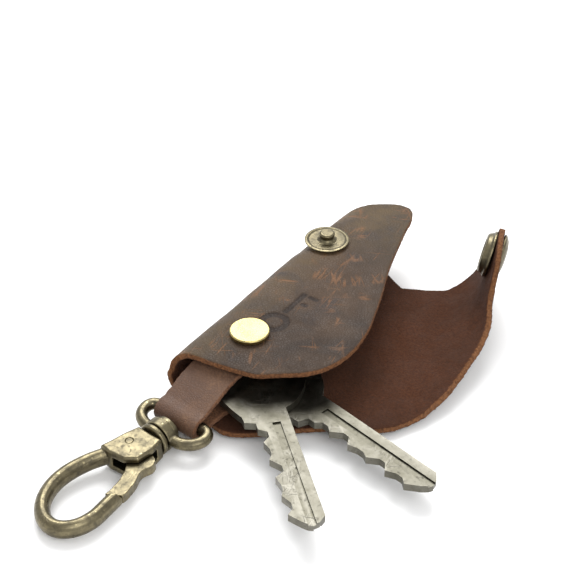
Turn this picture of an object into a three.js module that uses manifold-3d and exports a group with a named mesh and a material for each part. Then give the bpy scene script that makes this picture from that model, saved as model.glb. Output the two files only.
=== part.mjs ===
// Leather key organiser: a folded leather case with a curled snap flap, two keys on a
// screw, a strap loop and a swivel clasp. Millimetres, +Z up, the table at z = 0.
// The origin is on the screw's axis, at the underside of its lower head.
import * as THREE from 'three';
import { mergeVertices } from 'three/addons/utils/BufferGeometryUtils.js';
import Module from 'manifold-3d';

const wasm = await Module();
wasm.setup();

// ---------------------------------------------------------------- driving dimensions
const GAP = 0.3;
const LEATHER = 1.7;
const SLEEVE_HEIGHT_LOW = 1.0;
const SLEEVE_HEIGHT_HIGH = 15.3;
const FOLD_CENTRE_X = -6.35;
const FOLD_CENTRE_Z = (SLEEVE_HEIGHT_LOW + SLEEVE_HEIGHT_HIGH) / 2;
const FOLD_OUTER_R = (SLEEVE_HEIGHT_HIGH - SLEEVE_HEIGHT_LOW) / 2;
const FOLD_INNER_R = FOLD_OUTER_R - LEATHER;
const SLEEVE_RIGHT_X = 40;
const SLEEVE_NEAR_Y = -30;
const SLEEVE_FAR_Y = 80;
const DEBOSS_DEPTH = 0.4;

const SCREW_HEAD_R = 5;
const SCREW_LOW_HEAD = 1.0;
const SCREW_BARREL_R = 2.4;
const SCREW_BARREL_TOP = 15.2;
const SCREW_BORE_R = 1.5;
const SCREW_BORE_FLOOR = 5.5;
const SCREW_CAP_LOW = 15.4;
const SCREW_CAP_HIGH = 16.5;
const SCREW_SHANK_R = 1.42;
const SCREW_SHANK_LOW = 6.0;
const SCREW_HOLE_R = 2.6;

const KEY_THICKNESS = 2.0;
const KEY_HOLE_R = 2.47;
const KEY_HOLE_STRETCH = 1.1;
const KEY_GROOVE_HALF = 1.0;
const KEY_GROOVE_DEPTH = 0.45;
const KEY_A = { floor: 6.5, turn: -41.5, bow: 11.3, reach: 60.5, back: 4.0, cuts: [2.0, 1.2, 2.6, 1.0, 1.8] };
const KEY_B = { floor: 4.4, turn: -12, bow: 11.0, reach: 61, back: 4.2, cuts: [1.4, 2.4, 1.1, 2.2, 1.5] };

const FLAP_ANGLE = 20.3;
const FLAP_HINGE_N = 30;
const FLAP_MID_Z = SLEEVE_HEIGHT_LOW + LEATHER / 2;
const FLAP_RUNS = [
  { length: 11, turn: 0 },
  { length: 16, turn: 78 },
  { length: 14, turn: 0 },
];
const FLAP_CUT_SIDE = 14.5;
const FLAP_CUT_CROWN = 22.15;
const FLAP_LENGTH = 41;
const FLAP_NEAR_EDGE = [
  [0, -14.5], [2, -13.9], [8.9, -10.9], [15.3, -5], [18.9, 2.5], [21.5, 12],
  [24, 21], [28, 29.5], [33, 33.6], [37.5, 36.2], [40, 38.8], [41, 41.5],
];
const FLAP_FAR_EDGE = [
  [0, 45.5], [6.3, 46.1], [11.7, 47.5], [15.5, 51], [20.4, 56], [26, 56.6],
  [31, 54.5], [35.5, 52.4], [39, 50], [40.4, 48.4], [41, 46.4],
];

const STUD_X = -6.8;
const STUD_Y = 44.5;
const RIVET_DISC_R = 2.7;
const SNAP_S = 34.5;
const SNAP_T = 44.1;
const SNAP_SOCKET_R = 6.2;
const SNAP_CAP_R = 6.2;

const STRAP_WIDTH = 13;
const STRAP_THICKNESS = 1.3;
const STRAP_ANGLE = -95;
const BAR_A = 25;
const BAR_Z = 4.6;
const BAR_R = 1.5;
const STRAP_WRAP_R = 2.45;

const CLASP_DROOP = 2.67;
const POST_R = 2.3;
const POST_BORE_R = 2.38;
const PIVOT_P = 15.5;
const PIVOT_B = -2;
const PIN_R = 0.9;
const GATE_HALF = 1.3;
const SLOT_HALF = 1.5;
const GATE_TIP_R = 15.9;

const ROUND_SEGMENTS = 48;
const MERGE_TOLERANCE = 1e-4;

// ---------------------------------------------------------------- materials
function finish(name, color, metalness, roughness) {
  const material = new THREE.MeshStandardMaterial({ color, metalness, roughness });
  material.name = name;
  return material;
}

const leather = finish('leather', 0x5a3a24, 0, 0.75);
const strapLeather = finish('strap_leather', 0x6b4c36, 0, 0.7);
const turnedBrass = finish('turned_brass', 0xc8bb78, 1, 0.3);
const agedBrass = finish('aged_brass', 0x8a8262, 1, 0.4);
const nickel = finish('nickel_silver', 0x8b887a, 1, 0.4);
const springSteel = finish('spring_steel', 0xa8a8a4, 1, 0.3);

// ---------------------------------------------------------------- solid helpers
function signedVolume(geometry) {
  const position = geometry.attributes.position;
  const index = geometry.index;
  const a = new THREE.Vector3();
  const b = new THREE.Vector3();
  const c = new THREE.Vector3();
  let total = 0;
  for (let i = 0; i < index.count; i += 3) {
    a.fromBufferAttribute(position, index.getX(i));
    b.fromBufferAttribute(position, index.getX(i + 1));
    c.fromBufferAttribute(position, index.getX(i + 2));
    total += a.dot(b.cross(c));
  }
  return total;
}

// Welds the corners, drops flat triangles and turns the faces outwards.
function closed(geometry) {
  const bare = geometry.clone();
  bare.deleteAttribute('normal');
  bare.deleteAttribute('uv');
  const merged = mergeVertices(bare, MERGE_TOLERANCE);
  const flip = signedVolume(merged) < 0;
  const kept = [];
  for (let i = 0; i < merged.index.count; i += 3) {
    const a = merged.index.getX(i);
    const b = merged.index.getX(i + 1);
    const c = merged.index.getX(i + 2);
    if (a === b || b === c || c === a) continue;
    kept.push(a, flip ? c : b, flip ? b : c);
  }
  merged.setIndex(kept);
  return merged;
}

function toSolid(geometry) {
  const clean = closed(geometry);
  const vertProperties = new Float32Array(clean.attributes.position.array);
  const triVerts = new Uint32Array(clean.index.array);
  return new wasm.Manifold(new wasm.Mesh({ numProp: 3, vertProperties, triVerts }));
}

function toGeometry(solid) {
  const mesh = solid.getMesh();
  const geometry = new THREE.BufferGeometry();
  geometry.setAttribute('position', new THREE.BufferAttribute(new Float32Array(mesh.vertProperties), 3));
  geometry.setIndex(new THREE.BufferAttribute(new Uint32Array(mesh.triVerts), 1));
  return geometry;
}

function cut(base, ...tools) {
  let solid = toSolid(base);
  for (const tool of tools) solid = solid.subtract(toSolid(tool));
  return toGeometry(solid);
}

function join(base, ...others) {
  let solid = toSolid(base);
  for (const other of others) solid = solid.add(toSolid(other));
  return toGeometry(solid);
}

function common(base, other) {
  return toGeometry(toSolid(base).intersect(toSolid(other)));
}

function vectors(points) {
  return points.map(([x, y]) => new THREE.Vector2(x, y));
}

function smooth(points, samples) {
  return new THREE.SplineCurve(vectors(points)).getSpacedPoints(samples);
}

function prism(outline, low, high) {
  const geometry = new THREE.ExtrudeGeometry(new THREE.Shape(outline), {
    depth: high - low,
    bevelEnabled: false,
  });
  return geometry.translate(0, 0, low);
}

function rod(radius, low, high, x = 0, y = 0) {
  const geometry = new THREE.CylinderGeometry(radius, radius, high - low, ROUND_SEGMENTS);
  geometry.rotateX(Math.PI / 2);
  return geometry.translate(x, y, (low + high) / 2);
}

function block(xs, ys, zs) {
  const geometry = new THREE.BoxGeometry(xs[1] - xs[0], ys[1] - ys[0], zs[1] - zs[0]);
  return geometry.translate((xs[0] + xs[1]) / 2, (ys[0] + ys[1]) / 2, (zs[0] + zs[1]) / 2);
}

function turned(profile) {
  const geometry = new THREE.LatheGeometry(vectors(profile), ROUND_SEGMENTS);
  return geometry.rotateX(Math.PI / 2);
}

function tube(path, steps, halfOut, halfIn, sides) {
  const section = new THREE.Shape();
  section.absellipse(0, 0, halfOut, halfIn, 0, Math.PI * 2);
  return new THREE.ExtrudeGeometry(section, {
    steps,
    curveSegments: sides,
    bevelEnabled: false,
    extrudePath: path,
  });
}

function named(name, geometry, material) {
  const mesh = new THREE.Mesh(closed(geometry), material);
  mesh.geometry.computeVertexNormals();
  mesh.name = name;
  return mesh;
}

function degrees(angle) {
  return THREE.MathUtils.degToRad(angle);
}

// ---------------------------------------------------------------- local frames
// Flap frame: n runs away from the case, t along the hinge, z up.
const flapN = new THREE.Vector3(Math.cos(degrees(FLAP_ANGLE)), Math.sin(degrees(FLAP_ANGLE)), 0);
const up = new THREE.Vector3(0, 0, 1);
const flapT = new THREE.Vector3().crossVectors(up, flapN);
const flapFrame = new THREE.Matrix4().makeBasis(flapN, flapT, up);

// Strap frame: a runs from the screw towards the clasp, b across the strap, z up.
const strapA = new THREE.Vector3(Math.cos(degrees(STRAP_ANGLE)), Math.sin(degrees(STRAP_ANGLE)), 0);
const strapB = new THREE.Vector3().crossVectors(up, strapA);
const strapFrame = new THREE.Matrix4().makeBasis(strapA, strapB, up);

// Clasp frame: p runs from the eye's bar to the hook's tip, b across, q out of the clasp's face.
const claspP = strapA.clone().applyAxisAngle(strapB, degrees(CLASP_DROOP));
const claspQ = new THREE.Vector3().crossVectors(claspP, strapB);
const barCentre = strapA.clone().multiplyScalar(BAR_A).setZ(BAR_Z);
const claspFrame = new THREE.Matrix4().makeBasis(claspP, strapB, claspQ).setPosition(barCentre);

// ---------------------------------------------------------------- leather sleeve
function foldArc(radius, fromAngle, toAngle) {
  const steps = 24;
  const points = [];
  for (let i = 0; i <= steps; i += 1) {
    const angle = degrees(fromAngle + ((toAngle - fromAngle) * i) / steps);
    points.push([FOLD_CENTRE_X + radius * Math.cos(angle), FOLD_CENTRE_Z + radius * Math.sin(angle)]);
  }
  return points;
}

function sleeveProfile() {
  const points = [[SLEEVE_RIGHT_X, SLEEVE_HEIGHT_LOW]];
  points.push(...foldArc(FOLD_OUTER_R, 270, 90));
  points.push([SLEEVE_RIGHT_X, SLEEVE_HEIGHT_HIGH]);
  points.push([SLEEVE_RIGHT_X, SLEEVE_HEIGHT_HIGH - LEATHER]);
  points.push(...foldArc(FOLD_INNER_R, 90, 270));
  points.push([SLEEVE_RIGHT_X, SLEEVE_HEIGHT_LOW + LEATHER]);
  const shape = new THREE.Shape(vectors(points));
  const geometry = new THREE.ExtrudeGeometry(shape, {
    depth: SLEEVE_FAR_Y - SLEEVE_NEAR_Y,
    bevelEnabled: false,
  });
  geometry.rotateX(Math.PI / 2);
  return geometry.translate(0, SLEEVE_FAR_Y, 0);
}

function topPanelOutline() {
  return smooth([
    [-14, -15.9], [-10.9, -15.1], [-5.7, -14.3], [1.5, -13.7], [8.4, -12.5], [11, -11.6],
    [15.2, -8.0], [20.2, -3.6], [23.2, 2.0], [24.3, 9], [23.6, 15.8], [22.1, 21.4],
    [19.3, 29.0], [17.0, 35], [12.6, 45.9], [8.4, 59.2], [6.0, 67.6], [3.4, 71.2],
    [-0.6, 71.3], [-5.2, 68.4], [-9.3, 64.8], [-11.5, 62.0], [-12.7, 59], [-14, 55.5],
  ], 90);
}

function bottomPanelOutline() {
  const near = smooth([
    [-14, -16.5], [-6.35, -17.5], [2, -20.3], [8, -21.2], [14, -17.6], [22, -10.2],
    [29, -4.7], [33.02, -3.24],
  ], 32);
  const far = smooth([[12.21, 53.04], [9, 54.6], [4.5, 56.9], [0, 57.3], [-6.35, 56.2], [-14, 55.5]], 16);
  return [...near, ...far];
}

function keyMarkTools() {
  const low = SLEEVE_HEIGHT_HIGH - DEBOSS_DEPTH;
  const high = SLEEVE_HEIGHT_HIGH + 1;
  const bow = cut(rod(4.2, low, high, 2, 7.4), rod(2.1, low - 1, high + 1, 2, 7.4));
  return [
    bow,
    block([1.1, 2.9], [11.9, 21.8], [low, high]),
    block([3.2, 5.6], [16.6, 18.0], [low, high]),
    block([3.2, 6.4], [20.2, 21.8], [low, high]),
  ];
}

function leatherSleeve() {
  const above = prism(topPanelOutline(), FOLD_CENTRE_Z, SLEEVE_HEIGHT_HIGH + 2);
  const below = prism(bottomPanelOutline(), SLEEVE_HEIGHT_LOW - 2, FOLD_CENTRE_Z);
  const blank = common(sleeveProfile(), join(above, below));
  return cut(
    blank,
    rod(SCREW_HOLE_R, -5, 25),
    rod(1.25, FOLD_CENTRE_Z, 25, STUD_X, STUD_Y),
    rod(RIVET_DISC_R + 0.2, FOLD_CENTRE_Z, SLEEVE_HEIGHT_HIGH - LEATHER, STUD_X, STUD_Y),
    ...keyMarkTools(),
  );
}

// ---------------------------------------------------------------- curled flap
function flapPoint(s, offset) {
  let n = FLAP_HINGE_N;
  let z = FLAP_MID_Z;
  let angle = 0;
  let left = s;
  for (const run of FLAP_RUNS) {
    const step = Math.min(left, run.length);
    const turn = degrees((run.turn * step) / run.length);
    if (run.turn === 0) {
      n += step * Math.cos(angle);
      z += step * Math.sin(angle);
    } else {
      const radius = run.length / degrees(run.turn);
      n += radius * (Math.sin(angle + turn) - Math.sin(angle));
      z += radius * (Math.cos(angle) - Math.cos(angle + turn));
    }
    angle += turn;
    left -= step;
  }
  return { n: n - offset * Math.sin(angle), z: z + offset * Math.cos(angle), angle };
}

function edgeAt(edge, s) {
  const last = edge.length - 1;
  let i = 0;
  while (i < last - 1 && edge[i + 1][0] < s) i += 1;
  const share = (s - edge[i][0]) / (edge[i + 1][0] - edge[i][0]);
  return edge[i][1] + share * (edge[i + 1][1] - edge[i][1]);
}

function flapPiece(from, to, steps) {
  const half = LEATHER / 2;
  const corners = [];
  const faces = [];
  for (let i = 0; i <= steps; i += 1) {
    const s = from + ((to - from) * i) / steps;
    const near = edgeAt(FLAP_NEAR_EDGE, s);
    const far = edgeAt(FLAP_FAR_EDGE, s);
    const inner = flapPoint(s, half);
    const outer = flapPoint(s, -half);
    corners.push(inner.n, near, inner.z, inner.n, far, inner.z);
    corners.push(outer.n, far, outer.z, outer.n, near, outer.z);
    if (i === 0) continue;
    const start = (i - 1) * 4;
    for (let k = 0; k < 4; k += 1) {
      const next = (k + 1) % 4;
      faces.push(start + k, start + next, start + 4 + next);
      faces.push(start + k, start + 4 + next, start + 4 + k);
    }
  }
  const end = steps * 4;
  faces.push(0, 2, 1, 0, 3, 2);
  faces.push(end, end + 1, end + 2, end, end + 2, end + 3);
  const geometry = new THREE.BufferGeometry();
  geometry.setAttribute('position', new THREE.Float32BufferAttribute(corners, 3));
  geometry.setIndex(faces);
  return geometry.applyMatrix4(flapFrame);
}

// Frame on the flap's inner face at the snap, with z pointing towards the case.
function snapFrame() {
  const seat = flapPoint(SNAP_S, LEATHER / 2);
  const along = flapN.clone().multiplyScalar(Math.cos(seat.angle)).addScaledVector(up, Math.sin(seat.angle));
  const inward = flapN.clone().multiplyScalar(-Math.sin(seat.angle)).addScaledVector(up, Math.cos(seat.angle));
  const across = new THREE.Vector3().crossVectors(inward, along);
  const place = new THREE.Vector3(seat.n, SNAP_T, seat.z).applyMatrix4(flapFrame);
  return new THREE.Matrix4().makeBasis(along, across, inward).setPosition(place);
}

// ---------------------------------------------------------------- snap fastener
function snapStud() {
  const body = turned([
    [0, 15.4], [5.7, 15.4], [6.0, 15.7], [6.0, 16.0], [5.4, 16.1], [4.8, 15.8], [2.6, 15.8],
    [2.1, 16.1], [1.8, 16.5], [1.8, 17.0], [2.1, 17.4], [2.1, 17.9], [1.7, 18.2], [0, 18.2],
  ]);
  return cut(body, rod(1.02, 10, 17.6)).translate(STUD_X, STUD_Y, 0);
}

function snapStudRivet() {
  return turned([
    [0, 12.7], [2.4, 12.7], [RIVET_DISC_R, 13.0], [RIVET_DISC_R, 13.5], [0.98, 13.5],
    [0.98, 17.3], [0, 17.3],
  ]).translate(STUD_X, STUD_Y, 0);
}

function snapCap() {
  const shell = turned([
    [0, -3.7], [2.6, -3.6], [4.6, -3.2], [5.8, -2.5], [SNAP_CAP_R, -1.9], [5.9, -1.75],
    [0.98, -1.75], [0.98, 0.6], [0, 0.6],
  ]);
  return shell;
}

function snapSocket() {
  return turned([
    [1.02, 0.05], [SNAP_SOCKET_R - 0.2, 0.05], [SNAP_SOCKET_R, 0.3], [SNAP_SOCKET_R, 0.7],
    [5.6, 1.1], [5.2, 2.1], [4.7, 2.5], [3.9, 2.5], [3.6, 2.2], [3.6, 1.9],
    [4.1, 1.7], [4.1, 0.8], [1.02, 0.8], [1.02, 0.05],
  ]);
}

function snapSocketSpring() {
  const ring = new THREE.EllipseCurve(0, 0, 3.6, 3.6, degrees(20), degrees(340));
  const points = ring.getPoints(30).map((point) => new THREE.Vector3(point.x, point.y, 1.25));
  return tube(new THREE.CatmullRomCurve3(points), 40, 0.35, 0.35, 5);
}

// ---------------------------------------------------------------- screw and keys
function screwPost() {
  const body = turned([
    [0, 0], [4.7, 0], [SCREW_HEAD_R, 0.3], [SCREW_HEAD_R, SCREW_LOW_HEAD],
    [SCREW_BARREL_R, SCREW_LOW_HEAD], [SCREW_BARREL_R, SCREW_BARREL_TOP], [0, SCREW_BARREL_TOP],
  ]);
  return cut(body, rod(SCREW_BORE_R, SCREW_BORE_FLOOR, SCREW_BARREL_TOP + 1));
}

function screwCap() {
  return turned([
    [0, SCREW_SHANK_LOW], [SCREW_SHANK_R, SCREW_SHANK_LOW], [SCREW_SHANK_R, SCREW_CAP_LOW],
    [SCREW_HEAD_R, SCREW_CAP_LOW], [SCREW_HEAD_R, SCREW_CAP_HIGH - 0.25],
    [SCREW_HEAD_R - 0.25, SCREW_CAP_HIGH], [0, SCREW_CAP_HIGH],
  ]);
}

function keyOutline(key) {
  const k = key.bow / 11;
  const back = key.back;
  const bow = smooth([
    [21.5, back], [18.5, 7.6 * k], [11.5, 11 * k], [4.5, 9.4 * k], [-1.5, 6.4], [-4.9, 3.0],
    [-5.8, 0], [-4.9, -3.0], [-1.5, -6.4], [4.5, -9.4 * k], [11.5, -11 * k], [18.5, -8.8 * k],
    [22.5, -7.0],
  ], 44);
  const edge = [[24.6, -6.8], [25.4, -4.2], [27.5, -4.2]];
  const pitch = 6.0;
  key.cuts.forEach((depth, i) => {
    const u = 28.8 + pitch * i;
    edge.push([u, -4.2 + depth], [u + 1.8, -4.2 + depth], [u + 3.4, -3.9]);
  });
  const tip = key.reach;
  edge.push([tip - 1.6, -1.6], [tip - 0.4, -0.3], [tip, 0.8], [tip - 0.4, 2.2], [tip - 2.2, back]);
  return [...bow, ...vectors(edge)];
}

function keyBlank(key) {
  const slot = join(
    rod(KEY_HOLE_R, -1, KEY_THICKNESS + 1),
    rod(KEY_HOLE_R, -1, KEY_THICKNESS + 1, KEY_HOLE_STRETCH, 0),
    block([0, KEY_HOLE_STRETCH], [-KEY_HOLE_R, KEY_HOLE_R], [-1, KEY_THICKNESS + 1]),
  );
  const grooveX = [26, key.reach + 2];
  const grooveY = [0.6 - KEY_GROOVE_HALF, 0.6 + KEY_GROOVE_HALF];
  const upper = block(grooveX, grooveY, [KEY_THICKNESS - KEY_GROOVE_DEPTH, KEY_THICKNESS + 1]);
  const lower = block(grooveX, grooveY.map((y) => y + 1.2), [-1, KEY_GROOVE_DEPTH]);
  const solid = cut(prism(keyOutline(key), 0, KEY_THICKNESS), slot, upper, lower);
  return solid.rotateZ(degrees(key.turn)).translate(0, 0, key.floor);
}

// ---------------------------------------------------------------- strap loop
function strapPath() {
  const upper = [[-7, 12.15], [2, 12.15], [8, 12.1], [12, 11.8], [15, 11.0], [18, 9.8], [21.5, 8.15], [23.4, 7.35]];
  const lower = [[23.4, 2.62], [21.9, 3.35], [20.5, 3.62], [18, 3.65], [2, 3.65], [-7, 3.65]];
  const wrap = [];
  const steps = 18;
  for (let i = 0; i <= steps; i += 1) {
    const angle = degrees(90 - (180 * i) / steps);
    wrap.push([BAR_A + STRAP_WRAP_R * Math.cos(angle), BAR_Z + STRAP_WRAP_R * Math.sin(angle)]);
  }
  return vectors([...upper, ...wrap, ...lower]);
}

function strapLoop() {
  const path = strapPath();
  const left = [];
  const right = [];
  path.forEach((point, i) => {
    const before = path[Math.max(i - 1, 0)];
    const after = path[Math.min(i + 1, path.length - 1)];
    const along = after.clone().sub(before).normalize();
    const side = new THREE.Vector2(-along.y, along.x).multiplyScalar(STRAP_THICKNESS / 2);
    left.push(point.clone().add(side));
    right.push(point.clone().sub(side));
  });
  const ribbon = prism([...left, ...right.reverse()], -STRAP_WIDTH / 2, STRAP_WIDTH / 2);
  ribbon.rotateX(Math.PI / 2);
  ribbon.applyMatrix4(strapFrame);
  return cut(ribbon, rod(SCREW_HOLE_R, -5, 25));
}

// ---------------------------------------------------------------- swivel clasp
function eyePath() {
  const points = [
    [7.2, -3.5], [6.6, -6.4], [5.0, -8.6], [2.6, -9.5], [0.8, -9.0], [0, -7.6], [0, -4], [0, 0],
    [0, 4], [0, 7.6], [0.8, 9.0], [2.6, 9.5], [5.0, 8.6], [6.6, 6.4], [7.2, 3.5],
  ];
  return new THREE.CatmullRomCurve3(points.map(([p, b]) => new THREE.Vector3(p, b, 0)));
}

// A round piece about the clasp's long axis, from p = low to p = high.
function alongClasp(geometry) {
  return geometry.rotateY(Math.PI / 2);
}

function swivelEye() {
  const ring = tube(eyePath(), 72, BAR_R, BAR_R, 7);
  const boss = alongClasp(rod(4.2, 6, 8.5));
  const bore = alongClasp(rod(POST_BORE_R, 4, 10));
  const headRoom = alongClasp(rod(3.8, 2, 6));
  return cut(join(ring, boss), bore, headRoom).applyMatrix4(claspFrame);
}

function swivelPost() {
  const post = turned([[0, 4.1], [2.6, 4.1], [3.4, 4.6], [3.4, 5.7], [POST_R, 5.7], [POST_R, 13.0], [0, 13.0]]);
  return alongClasp(post).applyMatrix4(claspFrame);
}

function swivelWasher() {
  const washer = turned([
    [POST_BORE_R, 8.8], [3.9, 8.8], [4.2, 9.1], [4.2, 9.9], [3.9, 10.2], [POST_BORE_R, 10.2],
    [POST_BORE_R, 8.8],
  ]);
  return alongClasp(washer).applyMatrix4(claspFrame);
}

function claspBase() {
  const outline = vectors([
    [10.5, -3.7], [14, -4.9], [18, -5.7], [20.6, -6.4], [21.2, -3.4], [20.6, 1.2], [18.5, 3.8],
    [14, 4.3], [10.5, 3.7],
  ]);
  const bevel = 0.7;
  const geometry = new THREE.ExtrudeGeometry(new THREE.Shape(outline), {
    depth: 6.2 - 2 * bevel,
    bevelEnabled: true,
    bevelThickness: bevel,
    bevelSize: bevel,
    bevelOffset: -bevel,
    bevelSegments: 3,
  });
  return geometry.translate(0, 0, bevel - 3.1);
}

function claspBody() {
  const line = [
    [16, -3.3], [20, -4.9], [25, -7.0], [31, -8.1], [36.2, -7.4], [40.8, -4.8], [43.4, -1.0],
    [43.4, 2.6], [40.9, 5.6], [36.6, 7.0], [32, 6.7], [27, 6.2],
  ];
  const arm = tube(new THREE.CatmullRomCurve3(line.map(([p, b]) => new THREE.Vector3(p, b, 0))), 54, 2.3, 1.85, 8);
  const mouth = common(rod(GATE_TIP_R + GAP, -6, 6, PIVOT_P, PIVOT_B), block([22, 32], [2.5, 12], [-7, 7]));
  const slot = block([12.6, 20.6], [-3.9, 12], [-SLOT_HALF, SLOT_HALF]);
  const slotEnd = block([20.6, 23], [-2.4, 12], [-SLOT_HALF, SLOT_HALF]);
  const postBore = alongClasp(rod(POST_R + 0.02, 5, 12.6));
  const blindEnd = alongClasp(rod(POST_R + 0.02, 12.5, 13.1));
  const pinHole = rod(PIN_R + 0.02, -6, 6, PIVOT_P, PIVOT_B);
  return cut(join(claspBase(), arm), mouth, slot, slotEnd, postBore, blindEnd, pinHole).applyMatrix4(claspFrame);
}

function claspGate() {
  const outline = smooth([
    [13.7, -2.4], [14.6, -3.5], [16.4, -3.5], [17.4, -2.2], [19, 0.4], [22, 2.7], [25.5, 4.0], [28.4, 4.4],
  ], 20);
  const steps = 8;
  const from = Math.asin((4.5 - PIVOT_B) / GATE_TIP_R);
  const to = Math.asin((8.0 - PIVOT_B) / GATE_TIP_R);
  for (let i = 0; i <= steps; i += 1) {
    const angle = from + ((to - from) * i) / steps;
    outline.push(new THREE.Vector2(
      PIVOT_P + GATE_TIP_R * Math.cos(angle),
      PIVOT_B + GATE_TIP_R * Math.sin(angle),
    ));
  }
  outline.push(...smooth([
    [26, 7.9], [22.8, 7.1], [20.4, 6.0], [18.8, 6.1], [17, 6.7], [15.2, 6.0], [14.2, 3.8], [13.6, 0.5],
  ], 20));
  const plate = prism(outline, -GATE_HALF, GATE_HALF);
  const springRoom = rod(2.0, 0.2, 3, PIVOT_P, PIVOT_B);
  const pinHole = rod(PIN_R + 0.08, -3, 3, PIVOT_P, PIVOT_B);
  return cut(plate, springRoom, pinHole).applyMatrix4(claspFrame);
}

function gatePin() {
  return rod(PIN_R, -3.0, 3.0, PIVOT_P, PIVOT_B).applyMatrix4(claspFrame);
}

function gateSpring() {
  const turns = 1.9;
  const coil = 1.42;
  const points = [];
  const steps = 40;
  for (let i = 0; i <= steps; i += 1) {
    const angle = (Math.PI * 2 * turns * i) / steps;
    const q = 0.52 + (0.62 * i) / steps;
    points.push(new THREE.Vector3(PIVOT_P + coil * Math.cos(angle), PIVOT_B + coil * Math.sin(angle), q));
  }
  return tube(new THREE.CatmullRomCurve3(points), 60, 0.14, 0.14, 4).applyMatrix4(claspFrame);
}

// ---------------------------------------------------------------- assembly
const snap = snapFrame();
const rivetWay = rod(1.2, -4, 4).applyMatrix4(snap);
const flapStart = GAP / 2;
const parts = [
  ['leather_sleeve', leatherSleeve(), leather],
  ['flap_side', flapPiece(flapStart, FLAP_CUT_SIDE - flapStart, 14), leather],
  ['flap_crown', flapPiece(FLAP_CUT_SIDE + flapStart, FLAP_CUT_CROWN - flapStart, 14), leather],
  ['flap_tip', cut(flapPiece(FLAP_CUT_CROWN + flapStart, FLAP_LENGTH, 24), rivetWay), leather],
  ['strap_loop', strapLoop(), strapLeather],
  ['screw_post', screwPost(), turnedBrass],
  ['screw_cap', screwCap(), turnedBrass],
  ['key_a', keyBlank(KEY_A), nickel],
  ['key_b', keyBlank(KEY_B), nickel],
  ['snap_stud', snapStud(), agedBrass],
  ['snap_stud_rivet', snapStudRivet(), agedBrass],
  ['snap_cap', snapCap().applyMatrix4(snap), agedBrass],
  ['snap_socket', snapSocket().applyMatrix4(snap), agedBrass],
  ['snap_socket_spring', snapSocketSpring().applyMatrix4(snap), springSteel],
  ['swivel_eye', swivelEye(), agedBrass],
  ['swivel_post', swivelPost(), agedBrass],
  ['swivel_washer', swivelWasher(), agedBrass],
  ['clasp_body', claspBody(), agedBrass],
  ['clasp_gate', claspGate(), agedBrass],
  ['gate_pin', gatePin(), agedBrass],
  ['gate_spring', gateSpring(), springSteel],
];

const organiser = new THREE.Group();
organiser.name = 'key_organiser';
for (const [name, geometry, material] of parts) organiser.add(named(name, geometry, material));

export default organiser;
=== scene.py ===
# %% [markdown]
# A leather key organiser, lying open on a pale table. One piece of waxed leather is folded
# into a case, its flap curls up at the right, two keys fan out on a brass screw, and a strap
# loop carries a swivel clasp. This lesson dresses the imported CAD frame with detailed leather
# and metal. Each step says what the piece is, how it could be made and why this way.

# %% frame
import math
import bpy
import bmesh
import numpy as np
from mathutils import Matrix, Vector, noise


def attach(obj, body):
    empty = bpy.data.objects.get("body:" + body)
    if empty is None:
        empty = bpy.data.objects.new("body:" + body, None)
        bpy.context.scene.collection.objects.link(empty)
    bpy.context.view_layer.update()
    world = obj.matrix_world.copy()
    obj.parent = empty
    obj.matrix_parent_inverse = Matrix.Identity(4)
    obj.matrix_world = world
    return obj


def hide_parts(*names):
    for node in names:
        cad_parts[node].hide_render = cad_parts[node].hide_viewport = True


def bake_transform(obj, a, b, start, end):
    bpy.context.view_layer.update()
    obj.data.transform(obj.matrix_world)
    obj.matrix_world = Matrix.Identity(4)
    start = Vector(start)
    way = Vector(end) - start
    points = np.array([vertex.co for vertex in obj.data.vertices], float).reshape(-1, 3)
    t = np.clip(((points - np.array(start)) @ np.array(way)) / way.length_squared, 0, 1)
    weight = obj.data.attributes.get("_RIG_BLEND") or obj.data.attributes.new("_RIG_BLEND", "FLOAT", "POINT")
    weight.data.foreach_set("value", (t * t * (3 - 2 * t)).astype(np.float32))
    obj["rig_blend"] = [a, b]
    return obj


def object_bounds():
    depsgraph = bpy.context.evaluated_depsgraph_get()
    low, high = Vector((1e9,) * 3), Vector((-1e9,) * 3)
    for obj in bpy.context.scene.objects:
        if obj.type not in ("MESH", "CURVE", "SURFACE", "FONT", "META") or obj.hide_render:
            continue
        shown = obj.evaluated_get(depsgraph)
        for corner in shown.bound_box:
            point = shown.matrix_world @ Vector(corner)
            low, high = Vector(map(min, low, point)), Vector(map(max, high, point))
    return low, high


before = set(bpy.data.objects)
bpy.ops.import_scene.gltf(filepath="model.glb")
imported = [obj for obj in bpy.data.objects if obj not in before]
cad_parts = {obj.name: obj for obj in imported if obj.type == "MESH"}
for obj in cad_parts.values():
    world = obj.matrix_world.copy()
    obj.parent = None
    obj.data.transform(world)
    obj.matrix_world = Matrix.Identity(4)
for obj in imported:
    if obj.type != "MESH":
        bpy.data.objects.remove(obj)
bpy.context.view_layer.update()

# %% [markdown]
# The camera stands low at the front right, looking down 36 degrees, far enough away that the
# perspective is gentle. It comes first, so every later step can be judged through it.

# %% camera
camera_data = bpy.data.cameras.new("studio_camera")
camera_data.lens = 91.7
camera_data.sensor_width = 36.0
camera = bpy.data.objects.new("studio_camera", camera_data)
bpy.context.collection.objects.link(camera)
camera.location = (0.1690, -0.2263, 0.2351)
look_at = Vector((-0.01657, 0.03883, 0.0))
camera.rotation_euler = (look_at - camera.location).to_track_quat("-Z", "Y").to_euler()
bpy.context.scene.camera = camera
print("camera distance:", round((look_at - camera.location).length, 3), "m")

# %% [markdown]
# The case is one blank of leather 1.7 mm thick. Its flap is described by its length along the
# curl, so any point of the leather can be asked how far along the sheet it lies, how deep in
# the thickness it is, and which way the sheet faces there. All later marks use those answers.

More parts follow.
